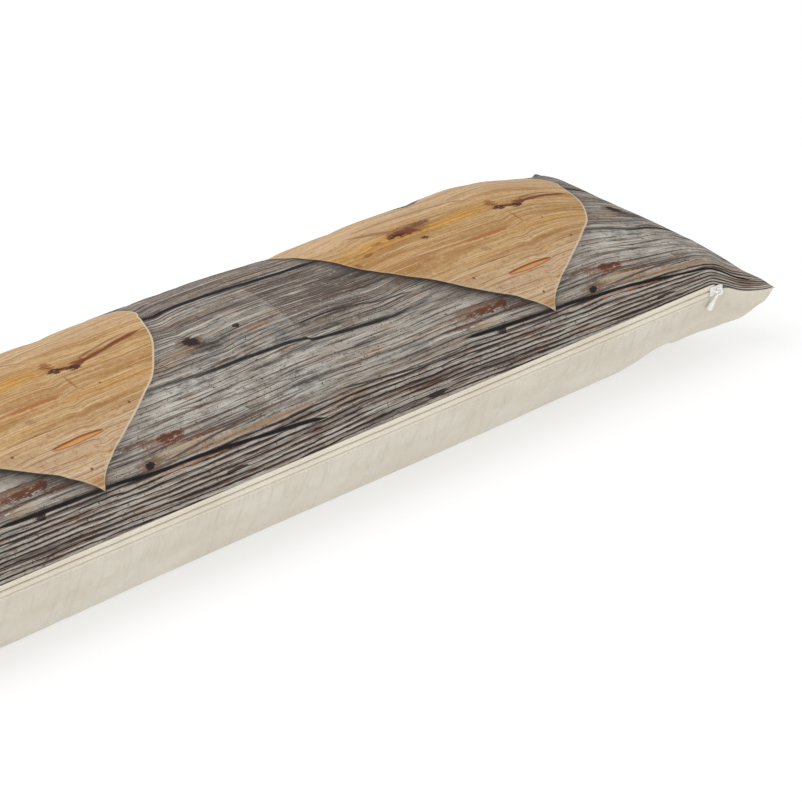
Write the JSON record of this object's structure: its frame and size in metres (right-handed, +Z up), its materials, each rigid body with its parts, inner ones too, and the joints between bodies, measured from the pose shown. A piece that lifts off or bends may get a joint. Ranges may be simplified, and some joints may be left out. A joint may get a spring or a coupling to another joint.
{
  "type": "long cushion",
  "caption": "Long stuffed cushion with a heart-print top, plain canvas back, concealed zip along one long side, and a casing filled with fibre.",
  "frame": {"origin": "middle of the underside, on the surface that the cushion lies on", "axes": "+X along the cushion towards the end where the zip closes, -Y towards the zip, +Z up out of the printed side"},
  "size_m": [0.892, 0.19, 0.0995],
  "materials": {
    "printed_cotton": "matt woven cotton with a printed picture of planks and hearts",
    "ecru_canvas": "plain unbleached canvas",
    "zip_tape": "woven polyester tape",
    "nylon_coil": "cream nylon monofilament",
    "white_enamel": "off-white enamel",
    "casing_cloth": "thin non-woven cloth",
    "polyester_fibre": "loose hollow fibre"
  },
  "bodies": {
    "cover": {"printed_panel": "printed_cotton", "canvas_panel": "ecru_canvas", "casing_top": "casing_cloth", "casing_bottom": "casing_cloth", "fibre_filling": "polyester_fibre", "zip_tape_upper": "zip_tape", "zip_tape_lower": "zip_tape", "zip_coil_upper": "nylon_coil", "zip_coil_lower": "nylon_coil", "zip_top_stop": "nylon_coil", "zip_bottom_stop": "nylon_coil"},
    "slider": {"zip_slider": "white_enamel"},
    "pull": {"zip_pull": "white_enamel"}
  },
  "joints": [
    {"name": "zip_slide", "type": "slide", "parent": "cover", "child": "slider", "axis": [1, 0, 0], "range_m": [-0.8, 0]},
    {"name": "pull_swing", "type": "hinge", "parent": "slider", "child": "pull", "pos_m": [0.413, -0.0821, 0.0432], "axis": [-1, 0, 0], "range_deg": [0, 165]}
  ]
}
